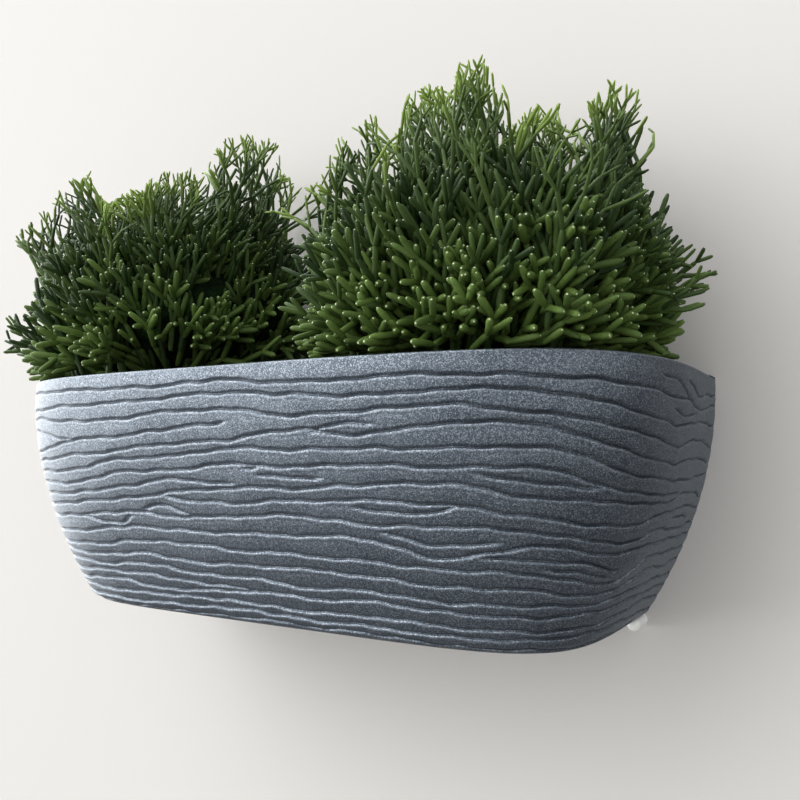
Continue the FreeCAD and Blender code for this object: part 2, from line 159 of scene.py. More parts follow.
# ---- the camera and the light, as the picture was taken ----
CAMERA_PLACE = (0.26976, -0.45326, -0.01226)
CAMERA_TURN = (94.43, 0.47, 30.27)    # degrees: tilt, roll, heading
CAMERA_LENS = 36.15
CAMERA_FILM = 36.0
NEAREST_SEEN = 0.01
# each part of the room's light: where it comes from, the shares of facing it between which it
# grows, and its strength below and above them
DAYLIGHT = ((-0.84, -0.19, 0.53), (0.33, 0.84), (0.0, 3.5))
CEILING_LIGHT = ((0.0, -0.55, 0.83), (-0.25, 0.3), (0.24, 0.98))


# ---------------------------------------------------------------- small tools


def deselect():
    for o in bpy.context.selected_objects:
        o.select_set(False)


def added(name):
    """The object that an operator has just made, under its own name."""
    o = bpy.context.object
    o.name = o.data.name = name
    return o


def mesh_piece(name, points, faces):
    """A piece from arrays of points and equal-sided faces."""
    mesh = bpy.data.meshes.new(name)
    faces = np.asarray(faces, dtype=np.int32)
    sides = faces.shape[1]
    mesh.vertices.add(len(points))
    mesh.vertices.foreach_set("co", np.asarray(points, dtype=np.float32).ravel())
    mesh.loops.add(faces.size)
    mesh.loops.foreach_set("vertex_index", faces.ravel())
    mesh.polygons.add(len(faces))
    mesh.polygons.foreach_set("loop_start", np.arange(len(faces), dtype=np.int32) * sides)
    mesh.update(calc_edges=True)
    o = bpy.data.objects.new(name, mesh)
    bpy.context.scene.collection.objects.link(o)
    return o


def smooth(o):
    o.data.polygons.foreach_set("use_smooth", np.ones(len(o.data.polygons), dtype=bool))


def add_value(o, name, values):
    """A named number on every point of a piece, for its material to read."""
    layer = o.data.attributes.new(name, "FLOAT", "POINT")
    layer.data.foreach_set("value", np.asarray(values, dtype=np.float32))


def paint(o, material):
    o.data.materials.clear()
    o.data.materials.append(material)


def dress(o, body, slot, material, *nodes):
    """A finished piece: its body, the CAD nodes that it stands for and its material. The slot is not used.
    """
    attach(o, body)
    if nodes:
        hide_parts(*nodes)
    paint(o, material)


# ---------------------------------------------------------------- materials


class Value:
    """A socket that can be added, multiplied and so on with numbers and other values."""

    def __init__(self, nodes, socket):
        self.nodes, self.socket = nodes, socket

    def math(self, operation, a, b):
        return self.nodes.node("ShaderNodeMath", {"operation": operation}, {0: a, 1: b})

    def __add__(self, other):
        return self.math("ADD", self, other)

    def __sub__(self, other):
        return self.math("SUBTRACT", self, other)

    def __rsub__(self, other):
        return self.math("SUBTRACT", other, self)

    def __mul__(self, other):
        return self.math("MULTIPLY", self, other)

    def __gt__(self, other):
        return self.math("GREATER_THAN", self, other)

    __radd__ = __add__
    __rmul__ = __mul__

    def between(self, low, high):
        """0 below low, 1 above high, and a straight run between them."""
        return self.nodes.node(
            "ShaderNodeMapRange", {"clamp": True}, {"Value": self, "From Min": low, "From Max": high}
        )


class Nodes:
    """The nodes of one material or of the world's light."""

    def __init__(self, tree):
        self.tree = tree

    def node(self, kind, settings=None, inputs=None, out=0):
        """Any node: first its settings, then the values or links of its sockets."""
        made = self.tree.nodes.new(kind)
        for name, value in (settings or {}).items():
            setattr(made, name, value)
        for name, value in (inputs or {}).items():
            if isinstance(value, Value):
                self.tree.links.new(value.socket, made.inputs[name])
            else:
                made.inputs[name].default_value = value
        return Value(self, made.outputs[out])

    def show(self, surface, output):
        self.tree.links.new(surface.socket, self.tree.nodes[output].inputs["Surface"])


class Kit(Nodes):
    """One material and the nodes that are put in it."""

    def __init__(self, name, **constants):
        self.material = bpy.data.materials.new(name)
        self.material.use_nodes = True
        super().__init__(self.material.node_tree)
        self.shader = self.tree.nodes["Principled BSDF"]
        for socket, value in constants.items():
            self.shader.inputs[socket.replace("_", " ")].default_value = value

    def feed(self, **values):
        for socket, value in values.items():
            self.tree.links.new(value.socket, self.shader.inputs[socket.replace("_", " ")])
        return self.material

    def place(self):
        return self.node("ShaderNodeTexCoord", out="Object")

    def noise(self, scale, detail=3.0, roughness=0.5, where=None):
        return self.node(
            "ShaderNodeTexNoise", {},
            {"Vector": where or self.place(), "Scale": scale, "Detail": detail,
             "Roughness": roughness},
        )

    def cells(self, scale, where=None):
        """A random number for each small cell."""
        cell = self.node(
            "ShaderNodeTexVoronoi", {}, {"Vector": where or self.place(), "Scale": scale}, "Color"
        )
        return self.node("ShaderNodeSeparateColor", {}, {0: cell})

    def attribute(self, name):
        return self.node("ShaderNodeAttribute", {"attribute_name": name}, out="Fac")

    def blend(self, factor, a, b):
        """Colour a where the factor is 0, and colour b where it is 1."""
        colours = {
            socket: c if isinstance(c, Value) else (*c, 1.0) for socket, c in ((6, a), (7, b))
        }
        return self.node("ShaderNodeMix", {"data_type": "RGBA"}, {"Factor": factor, **colours}, 2)

    def bump(self, height, strength, distance):
        return self.node(
            "ShaderNodeBump", {}, {"Height": height, "Strength": strength, "Distance": distance}
        )


def speckled_plastic():
    """Blue-grey moulded shell with light and dark flecks and a satin, faintly metallic face, with painted
    shade in its grooves and a painted highlight on the lips below them.
    """
    deep_blue, pale_blue = (0.070, 0.085, 0.107), (0.100, 0.118, 0.142)
    light_fleck, white_fleck = (0.32, 0.35, 0.38), (0.40, 0.43, 0.46)
    dark_fleck = (0.028, 0.034, 0.045)
    painted_lip_highlight, groove_painted_shade = (0.50, 0.53, 0.57), (0.014, 0.018, 0.026)
    kit = Kit("speckled blue-grey plastic", Coat_Roughness=0.3)
    where = kit.place()
    fleck = kit.cells(2100.0, where)
    fine = kit.cells(3300.0, where)
    cloud = kit.noise(26.0, 3.0, 0.5, where)
    cut, lip = kit.attribute("cut"), kit.attribute("lip")
    lip_highlight_breakup = kit.noise(300.0, 4.0, 0.7, where).between(0.42, 0.62)
    base = kit.blend(cloud.between(0.3, 0.7), deep_blue, pale_blue)
    base = kit.blend((fleck > 0.82) * 0.55, base, light_fleck)
    base = kit.blend((fine > 0.88) * 0.5, base, white_fleck)
    base = kit.blend((1 - fleck > 0.80) * 0.65, base, dark_fleck)
    # painted highlight: the raised lips below the grooves are lightened in patches broken up by noise
    base = kit.blend(lip.between(0.35, 1.0) * lip_highlight_breakup * 0.15, base, painted_lip_highlight)
    # painted shade: the deepest part of each groove is darkened
    base = kit.blend(cut.between(0.55, 0.95) * 0.75, base, groove_painted_shade)
    grain = kit.noise(900.0, 2.0, 0.6, where)
    return kit.feed(
        Base_Color=base,
        Roughness=grain * 0.16 + 0.30 + cut * 0.1,
        Metallic=(fleck > 0.7) * 0.2 + 0.7,
        Coat_Weight=0.12 + cloud * 0.1,
        Normal=kit.bump(grain + fleck * 0.5, 0.28, 0.0003),
    )


def stem_skin():
    """Waxy green stems: light or dark by tone, which varies at random and also carries painted shade in
    the crown and painted light on the skirt, yellow-green when young, pale at each tip.
    """
    dark_green, light_green = (0.018, 0.036, 0.009), (0.105, 0.165, 0.036)
    young_green, mottled_green = (0.25, 0.36, 0.055), (0.040, 0.075, 0.014)
    pale_tip = (0.66, 0.70, 0.46)
    kit = Kit("waxy jointed stems", Coat_Roughness=0.3, Specular_IOR_Level=0.16)
    where = kit.place()
    tone, young, tip = kit.attribute("tone"), kit.attribute("young"), kit.attribute("tip")
    mottle = kit.noise(420.0, 2.0, 0.5, where)
    green = kit.blend(tone, dark_green, light_green)
    green = kit.blend(young * 0.85, green, young_green)
    green = kit.blend(mottle.between(0.45, 0.75) * 0.35, green, mottled_green)
    green = kit.blend((tip > 0.66) * 0.7, green, pale_tip)
    return kit.feed(
        Base_Color=green,
        Roughness=mottle * 0.2 + 0.42,
        Coat_Weight=mottle * 0.04,
        Normal=kit.bump(mottle, 0.15, 0.0004),
    )


def shade_of_stems():
    """Painted shadow for the inside of a plant: near-black greens where only shadow shows between the
    stems.
    """
    deepest_green, deep_green = (0.003, 0.006, 0.003), (0.012, 0.026, 0.008)
    kit = Kit("inner stems in shadow", Roughness=0.9, Specular_IOR_Level=0.05)
    mottle = kit.noise(160.0, 4.0, 0.7)
    green = kit.blend(mottle.between(0.35, 0.7), deepest_green, deep_green)
    return kit.feed(Base_Color=green, Normal=kit.bump(mottle, 0.8, 0.004))


def potting_soil():
    """Dark crumbs of soil, with a light one here and there."""
    wet_brown, dry_brown = (0.012, 0.008, 0.005), (0.055, 0.036, 0.022)
    light_crumb = (0.20, 0.15, 0.10)
    kit = Kit("damp potting soil", Roughness=0.95)
    crumbs = kit.cells(420.0)
    clods = kit.noise(120.0, 5.0, 0.7)
    brown = kit.blend(clods.between(0.3, 0.7), wet_brown, dry_brown)
    brown = kit.blend((crumbs > 0.93) * 0.7, brown, light_crumb)
    return kit.feed(Base_Color=brown, Normal=kit.bump(clods + crumbs * 0.4, 0.9, 0.003))


def moulded(name, colour, roughness):
    """Plain moulded plastic or rubber with a fine spark-eroded grain."""
    kit = Kit(name)
    texture = kit.noise(700.0, 3.0, 0.6)
    cloud = kit.noise(30.0, 2.0)
    lighter = tuple(min(1.0, c * 1.25 + 0.004) for c in colour)
    return kit.feed(
        Base_Color=kit.blend(cloud, colour, lighter),
        Roughness=texture * 0.2 + (roughness - 0.1),
        Normal=kit.bump(texture, 0.2, 0.0003),
    )


def white_enamel():
    """Sprayed white steel with a faint peel and a little dust."""
    clean_white, dusty_white = (0.74, 0.74, 0.72), (0.60, 0.59, 0.56)
    kit = Kit("white enamelled steel", Coat_Weight=0.4, Coat_Roughness=0.2)
    peel = kit.noise(260.0, 2.0, 0.4)
    dust = kit.noise(24.0, 4.0, 0.6)
    return kit.feed(
        Base_Color=kit.blend(dust.between(0.5, 0.8) * 0.5, clean_white, dusty_white),
        Roughness=dust * 0.2 + 0.3,
        Normal=kit.bump(peel, 0.1, 0.0003),
    )


def zinc_steel():
    """Bright zinc with the haze that plating leaves."""
    grey_zinc, bright_zinc = (0.52, 0.52, 0.50), (0.70, 0.69, 0.66)
    kit = Kit("zinc plated steel", Metallic=1.0)
    haze = kit.noise(220.0, 4.0, 0.6)
    return kit.feed(
        Base_Color=kit.blend(haze.between(0.35, 0.7), grey_zinc, bright_zinc),
        Roughness=haze * 0.3 + 0.2,
        Normal=kit.bump(haze, 0.1, 0.0002),
    )


# ---------------------------------------------------------------- the shell


def shell_form(height):
    """The shell's half width, depth and squareness at a height above its foot."""
    share = np.clip(height / SHELL_HEIGHT, 0.0, 1.0)
    left = 1.0 - share
    half = RIM_WIDTH / 2 - (RIM_WIDTH - BASE_WIDTH) / 2 * left**SIDE_SWELL
    depth = RIM_DEPTH - (RIM_DEPTH - BASE_DEPTH) * left**FRONT_SWELL
    return half, depth, BASE_SQUARENESS + (RIM_SQUARENESS - BASE_SQUARENESS) * share


def shell_point(angle, height, inset):
    """Points of the shell's outside, in millimetres, moved in by inset. Angle 0 is its right end."""
    half, depth, power = shell_form(height)
    c, s = np.cos(angle), np.abs(np.sin(angle))
    reach = (np.abs(c) ** power + s**power) ** (-1 / power)
    return (half - inset) * reach * c, -(depth - inset) * reach * s


def rim_angles(along):
    """The angle of each distance along the rim from the middle of the front, and half its run."""
    fine = np.linspace(math.pi, 0.0, 3001)
    x, y = shell_point(fine, SHELL_HEIGHT, 0.0)
    run = np.concatenate([[0.0], np.cumsum(np.hypot(np.diff(x), np.diff(y)))])
    return np.interp(along, run - run[-1] / 2, fine), run[-1] / 2


def flowing_line(xs, ys, at):
    """A smooth curve through the points: cubic pieces whose slopes follow their neighbours."""
    xs, ys = np.asarray(xs, float), np.asarray(ys, float)
    slope = np.gradient(ys, xs)
    i = np.clip(np.searchsorted(xs, at) - 1, 0, len(xs) - 2)
    step = xs[i + 1] - xs[i]
    t = (at - xs[i]) / step
    a, b = ys[i], ys[i + 1]
    m, n = slope[i] * step, slope[i + 1] * step
    return (
        (2 * t**3 - 3 * t**2 + 1) * a + (t**3 - 2 * t**2 + t) * m
        + (3 * t**2 - 2 * t**3) * b + (t**3 - t**2) * n
    )


def groove_lines():
    for start, *heights in GROOVES:
        yield [start + STATION * i for i in range(len(heights))], heights
    for points in FORKS:
        yield [p[0] for p in points], [p[1] for p in points]


def wobble(at, phase):
    """The small waves on a groove: a long one that drifts, and a short one."""
    drift = WAVE_DRIFT * np.sin(at * WAVE_DRIFT_RATE + phase)
    long = LONG_WAVE * np.sin(at * LONG_WAVE_RATE + phase * 2.3 + drift)
    return long + SHORT_WAVE * np.sin(at * SHORT_WAVE_RATE + phase * 5.1)


def carving(along, heights, half_length):
    """Depth of the cuts and of the lips below them at each row and column, and how far each
    point is from a cut."""
    depth = np.zeros((len(heights), len(along)))
    lip = np.zeros_like(depth)
    nearest = np.full_like(depth, UNCUT)
    for xs, ys in groove_lines():
        if xs[0] <= -END_STATION:
            xs[0] = -half_length - PAST_THE_END
        if xs[-1] >= END_STATION:
            xs[-1] = half_length + PAST_THE_END
        inside = (along >= xs[0] - RUN_OUT) & (along <= xs[-1] + RUN_OUT)
        here = along[inside]
        at = np.clip(here, xs[0], xs[-1])
        line = flowing_line(xs, ys, at) + wobble(at, ys[0])
        tilt = np.hypot(1.0, np.gradient(line, here))
        ends = np.minimum(here - xs[0], xs[-1] - here)
        strength = np.clip((ends + RUN_OUT) / CUT_END_TAPER, 0.0, 1.0)
        strength *= 1.0 + CUT_VARIES * np.sin(here * CUT_VARIES_RATE + ys[0])
        above = (heights[:, None] - line[None, :]) / tilt
        q = np.clip(np.where(above > 0, above / UPPER_BANK, -above / LOWER_BANK), 0.0, 1.0)
        cut = strength * (1 - q * q * (3 - 2 * q))
        depth[:, inside] = np.maximum(depth[:, inside], cut)
        ridge = strength * np.exp(-(((above + LIP_PLACE) / LIP_WIDTH) ** 2))
        lip[:, inside] = np.maximum(lip[:, inside], ridge)
        away = np.abs(above) + CUT_END_FADE * (1 - np.clip(strength, 0, 1))
        nearest[:, inside] = np.minimum(nearest[:, inside], away)
    return depth, lip, nearest


def skin_rows():
    """(height, inset) of each row of the skin: over the rim, down the side and under the foot."""
    lap_low, lap_top = LAP_GAPS
    rim_foot = SHELL_HEIGHT - RIM_ROUND
    rows = [(SHELL_HEIGHT - LAP, SHELL_WALL + lap_low), (rim_foot, SHELL_WALL + lap_top)]
    middle = SHELL_WALL / 2
    for i in range(1, RIM_STEPS + 1):
        turn = math.pi * (1 - i / RIM_STEPS)
        inset = middle - middle * math.cos(turn)
        rows.append((SHELL_HEIGHT - RIM_ROUND * (1 - math.sin(turn)), max(inset, 0.0)))
    fall = BASE_ROUND - rim_foot
    rows += [(rim_foot + fall * i / SKIN_ROWS, 0.0) for i in range(1, SKIN_ROWS + 1)]
    for i in range(1, FOOT_STEPS + 1):
        turn = math.pi / 2 * i / FOOT_STEPS
        rows.append((BASE_ROUND * (1 - math.sin(turn)), BASE_ROUND * (1 - math.cos(turn))))
    rows.append((-UNDER_FOOT_GAP, BASE_ROUND + UNDER_FOOT))
    return np.array(rows)


def shell_skin(material):
    """The carved outside of the shell, from inside the rim to under the foot ring."""
    rows = skin_rows()
    deselect()
    bpy.ops.mesh.primitive_grid_add(
        x_subdivisions=SKIN_COLUMNS, y_subdivisions=len(rows) - 1, size=1
    )
    skin = added("shell_carved_skin")
    co = np.empty(len(skin.data.vertices) * 3, dtype=np.float32)
    skin.data.vertices.foreach_get("co", co)
    co = co.reshape(-1, 3)
    column = np.rint((co[:, 0] + 0.5) * SKIN_COLUMNS).astype(int)
    row = np.rint((0.5 - co[:, 1]) * (len(rows) - 1)).astype(int)

    _, half_length = rim_angles(np.zeros(1))
    along = np.linspace(-half_length, half_length, SKIN_COLUMNS + 1)
    angles, _ = rim_angles(along)
    depth, lip, nearest = carving(along, rows[:, 0], half_length)
    on_side = (rows[:, 1] < BASE_ROUND * 0.7) & (np.arange(len(rows)) > RIM_STEPS + 1)
    band = np.clip((SHELL_HEIGHT - PLAIN_RIM - rows[:, 0]) / PLAIN_RIM_FADE, 0, 1) * on_side
    ridges = lip * (1 - depth)
    swell = PILLOW * (1 - np.exp(-((nearest / PILLOW_WIDTH) ** 2))) + LIP_HEIGHT * ridges
    swell = swell * band[:, None]
    depth = depth * on_side[:, None]

    height = rows[row, 0]
    inset = rows[row, 1] + CUT_DEPTH * depth[row, column] - swell[row, column]
    x, y = shell_point(angles[column], height, inset)
    z = height + FOOT_Z
    y = np.minimum(y, -WALL_FACE_GAP)
    # the arched notches over the pegs press the foot of the skin up and aside
    for side in (-1, 1):
        dx, dz = x - side * PEG_X, z - PEG_Z
        r = np.hypot(dx, dz)
        near = (y > -NOTCH_LENGTH) & (r < NOTCH_RADIUS)
        push = np.where(near, NOTCH_RADIUS / np.maximum(r, 0.1), 1.0)
        x, z = side * PEG_X + dx * push, PEG_Z + dz * push
    co = np.stack([x, y, z], axis=1) * MM
    skin.data.vertices.foreach_set("co", co.astype(np.float32).ravel())
    skin.data.update()
    add_value(skin, "cut", depth[row, column])
    add_value(skin, "lip", (ridges * band[:, None])[row, column])
    bpy.ops.object.mode_set(mode="EDIT")
    bpy.ops.mesh.select_all(action="SELECT")
    bpy.ops.mesh.flip_normals()
    bpy.ops.object.mode_set(mode="OBJECT")
    smooth(skin)
    dress(skin, "planter", "speckled_shell", material, "planter_shell")


def shell_inside(material):
    """The shell's inner walls, floor, back panel and lip: the moulding without its outer face."""
    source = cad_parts["planter_shell"]
    inner = source.copy()
    inner.data = source.data.copy()
    bpy.context.scene.collection.objects.link(inner)
    for key in list(inner.keys()):
        del inner[key]
    inner.name = inner.data.name = "shell_inside"
    mesh = bmesh.new()
    mesh.from_mesh(inner.data)
    bmesh.ops.remove_doubles(mesh, verts=mesh.verts, dist=1e-6)
    everything = mesh.verts[:] + mesh.edges[:] + mesh.faces[:]
    bmesh.ops.bisect_plane(
        mesh, geom=everything, plane_co=(0, PANEL_FRONT * MM, 0), plane_no=(0, 1, 0)
    )
    gone = []
    for face in mesh.faces:
        x, y, z = (v / MM for v in face.calc_center_median())
        height = z - FOOT_Z
        half, depth, power = shell_form(height)
        # 1 on the shell's outside and less within it
        reach = (abs(x / half) ** power + abs(y / depth) ** power) ** (1 / power)
        outermost = 0.992 if height > BASE_ROUND - 0.1 else 0.95
        on_rim = height > SHELL_HEIGHT - 0.05 and y < PANEL_FRONT
        level_or_back = abs(face.normal.z) > 0.98 or face.normal.y > 0.9
        if on_rim or (reach > outermost and not level_or_back):
            gone.append(face)
    bmesh.ops.delete(mesh, geom=gone, context="FACES")
    mesh.to_mesh(inner.data)
    mesh.free()
    # nothing is carved in here, but the shell's material reads both values
    for value in ("cut", "lip"):
        add_value(inner, value, np.zeros(len(inner.data.vertices)))
    deselect()
    bpy.context.view_layer.objects.active = inner
    inner.select_set(True)
    bpy.ops.object.shade_smooth_by_angle(angle=math.radians(35))
    dress(inner, "planter", "speckled_shell", material, "planter_shell")


# ---------------------------------------------------------------- the plants

POT_X, POT_Y = 92.0, -82.0
SOIL_Z = 9.0               # where the bare stems stand in the soil
STEM_SIDES = 6
HIGHEST_STEM = 201.0
FRONT_STEM = -178.0
PLANT_PLANE_Y = -85.0
# a stem joint from its foot to its tip: (share of its length, share of its thickness)
JOINT_PROFILE = ((0.0, 0.60), (0.14, 0.93), (0.80, 0.94), (0.955, 0.62))
JOINT_BOW = 0.035          # joints bow by this share of their length, so none is a straight rod
JOINT_OVERLAP = 0.5        # a joint starts this share of its radius inside the one below it
PALE_TIP = 0.95
TIP_BEGINS, TIP_LENGTH = 0.94, 0.06
YOUNG_GROWTH = 17.0        # how far down the yellow-green growth reaches
YOUNG_FOOT = 0.5           # how young a young joint is at its foot
PIECE_JOINTS = 4400        # keeps each piece under 200,000 triangles
PLANT_BASE_Z = RIM_Z + 1.0
SPLIT_X = -12.0
WALL_ROOM = 4.0
STEM_ROOM = 0.4            # left round every stem

# how a sprig grows: the length and radius of its joints in turn, the chances that one, two or
# three of the next grow from each, and how far in degrees these spread
Habit = namedtuple("Habit", "lengths radii forks spread")
FAN = Habit((25, 21, 16, 12, 8), (1.8, 1.5, 1.15, 0.85, 0.6), (0.06, 0.76, 0.18), (16, 31))
ARM = Habit((21, 17, 14, 11, 8), (1.8, 1.55, 1.35, 1.15, 0.9), (0.30, 0.65, 0.05), (14, 34))
UPRIGHT = Habit((19, 18, 16, 13), (1.85, 1.7, 1.5, 1.3), (0.12, 0.62, 0.26), (13, 29))
SKIRT = Habit((19, 17, 14.5), (1.9, 1.8, 1.7), (0.12, 0.56, 0.32), (15, 34))
STRAIGHT_ON = (3, 12)      # how far in degrees a single next joint turns aside
LENGTH_VARIES = (0.82, 1.18)
RADIUS_VARIES = (0.9, 1.1)
TONE_VARIES = 0.18
SPRIG_RUN = 0.94           # a sprig's height as a share of the sum of its joints

PLANT_SQUARENESS = 2.1
CROWN_LOW, CROWN_HIGH = PLANT_BASE_Z + 46, PLANT_BASE_Z + 108
CROWN_FRONT_FALL = 0.55    # how much lower the crown is at the front
CROWN_SHARE = 0.93         # how far out the uprights stand
FAN_BELOW_SKYLINE = 1.0
FAN_LEAN = 0.0022          # per millimetre from the plant's middle
ARM_ROOT_Z = 40.0          # the height that the long low sprigs lean out from
THIN_FROM, THIN_RANGE = 70, 50     # above the plant's base: stems get slimmer over this run
UPRIGHTS_BELOW = (16, 46)  # how far the uprights stop short of the skyline
SKIRT_FOOT, SKIRT_RISE = PLANT_BASE_Z + 3, 62
SKIRT_LOWEST = PLANT_BASE_Z + 2.9
FLAT_SKIRT = 0.12          # the lowest share of the skirt lies flat on the rim
# few stems grow in the dark hollow at the left plant's right foot: beyond, below and before these
HOLLOW_X, HOLLOW_Z, HOLLOW_Y = -92, 62, -72
BARE_STEMS = 26
HEART_FOOT, HEART_RISE = 2.0, 74.0
HEART_SHARE = 0.72         # of the plant's spread, and a little more towards the other plant
HEART_WIDER = 1.18
HEART_LUMP = 3.5

# the plants' edges as the camera sees them, in the upright plane through the middle of the pots
LEFT_SKYLINE = (
    (-288, 150), (-283, 157), (-266, 169), (-244, 174), (-236, 186), (-223, 198), (-211, 190),
    (-200, 192), (-192, 178), (-184, 166), (-172, 168), (-162, 173), (-152, 170), (-140, 177),
    (-124, 180), (-112, 177), (-101, 178), (-96, 166), (-88, 178), (-78, 190), (-69, 193),
    (-58, 191), (-44, 187), (-32, 184), (-28, 160), (-10, 150),
)
RIGHT_SKYLINE = (
    (-20, 140), (-12, 152), (0, 153), (6, 168), (16, 179), (24, 183), (36, 187), (43, 164),
    (50, 168), (57, 188), (72, 192), (84, 186), (90, 201), (102, 201), (108, 189), (115, 182),
    (121, 160), (131, 168), (139, 162), (144, 166), (150, 148), (156, 160), (161, 170), (171, 171),
    (183, 164), (189, 140),
)
# (height, how far out along the wall)
LEFT_EDGE = (
    (35, -262), (54, -274), (64, -292), (96, -292), (104, -270), (112, -262), (124, -256),
    (138, -266), (150, -288), (160, -284), (170, -264), (186, -240),
)
RIGHT_EDGE = (
    (35, 199), (46, 202), (55, 203), (60, 216), (90, 215), (93, 197), (110, 196), (118, 190),
    (140, 189), (164, 185), (172, 178),
)
# long low sprigs that reach out past the ends: where each one's tips arrive
LEFT_ARMS = (
    (-243, -110, 66), (-246, -108, 76), (-241, -108, 90), (-236, -110, 128), (-232, -108, 145),
    (-230, -70, 90), (-226, -50, 120), (-240, -112, 138), (-236, -112, 150),
)
RIGHT_ARMS = (
    (205, -85, 84), (211, -87, 74), (212, -85, 64), (190, -85, 101), (186, -85, 113),
)


def joint_shape():
    """One jointed stem of unit length and unit radius, modelled once and copied for every joint."""
    deselect()
    bpy.ops.mesh.primitive_cylinder_add(
        vertices=STEM_SIDES, radius=1, depth=1, end_fill_type="NOTHING", location=(0, 0, 0.5)
    )
    joint = added("stem_joint_pattern")
    bpy.ops.object.transform_apply(location=True)
    bpy.ops.object.mode_set(mode="EDIT")
    for share, _ in JOINT_PROFILE[1:]:
        bpy.ops.mesh.select_all(action="SELECT")
        bpy.ops.mesh.bisect(plane_co=(0, 0, share), plane_no=(0, 0, 1))
    bpy.ops.object.mode_set(mode="OBJECT")
    heights = [share for share, _ in JOINT_PROFILE] + [1.0]
    widths = [width for _, width in JOINT_PROFILE] + [0.0]
    for v in joint.data.vertices:
        width = np.interp(v.co.z, heights, widths)
        v.co.x *= width
        v.co.y *= width
    bpy.ops.object.mode_set(mode="EDIT")
    bpy.ops.mesh.select_all(action="SELECT")
    bpy.ops.mesh.remove_doubles(threshold=1e-4)
    bpy.ops.mesh.quads_convert_to_tris()
    bpy.ops.object.mode_set(mode="OBJECT")
    points = np.array([v.co[:] for v in joint.data.vertices])
    faces = np.array([f.vertices[:] for f in joint.data.polygons])
    bpy.data.objects.remove(joint)
    return points, faces


def seen_from_camera(p):
    """Where a point is seen against the upright plane through the middle of the pots: (x, z)."""
    eye = np.array(CAMERA_PLACE) / MM
    far = (PLANT_PLANE_Y - eye[1]) / (p[1] - eye[1])
    return eye[0] + (p[0] - eye[0]) * far, eye[2] + (p[2] - eye[2]) * far


def from_camera_height(y, z):
    """The height over a place of depth y that is seen at height z in the plants' upright plane."""
    eye = np.array(CAMERA_PLACE) / MM
    return eye[2] + (z - eye[2]) * (y - eye[1]) / (PLANT_PLANE_Y - eye[1])


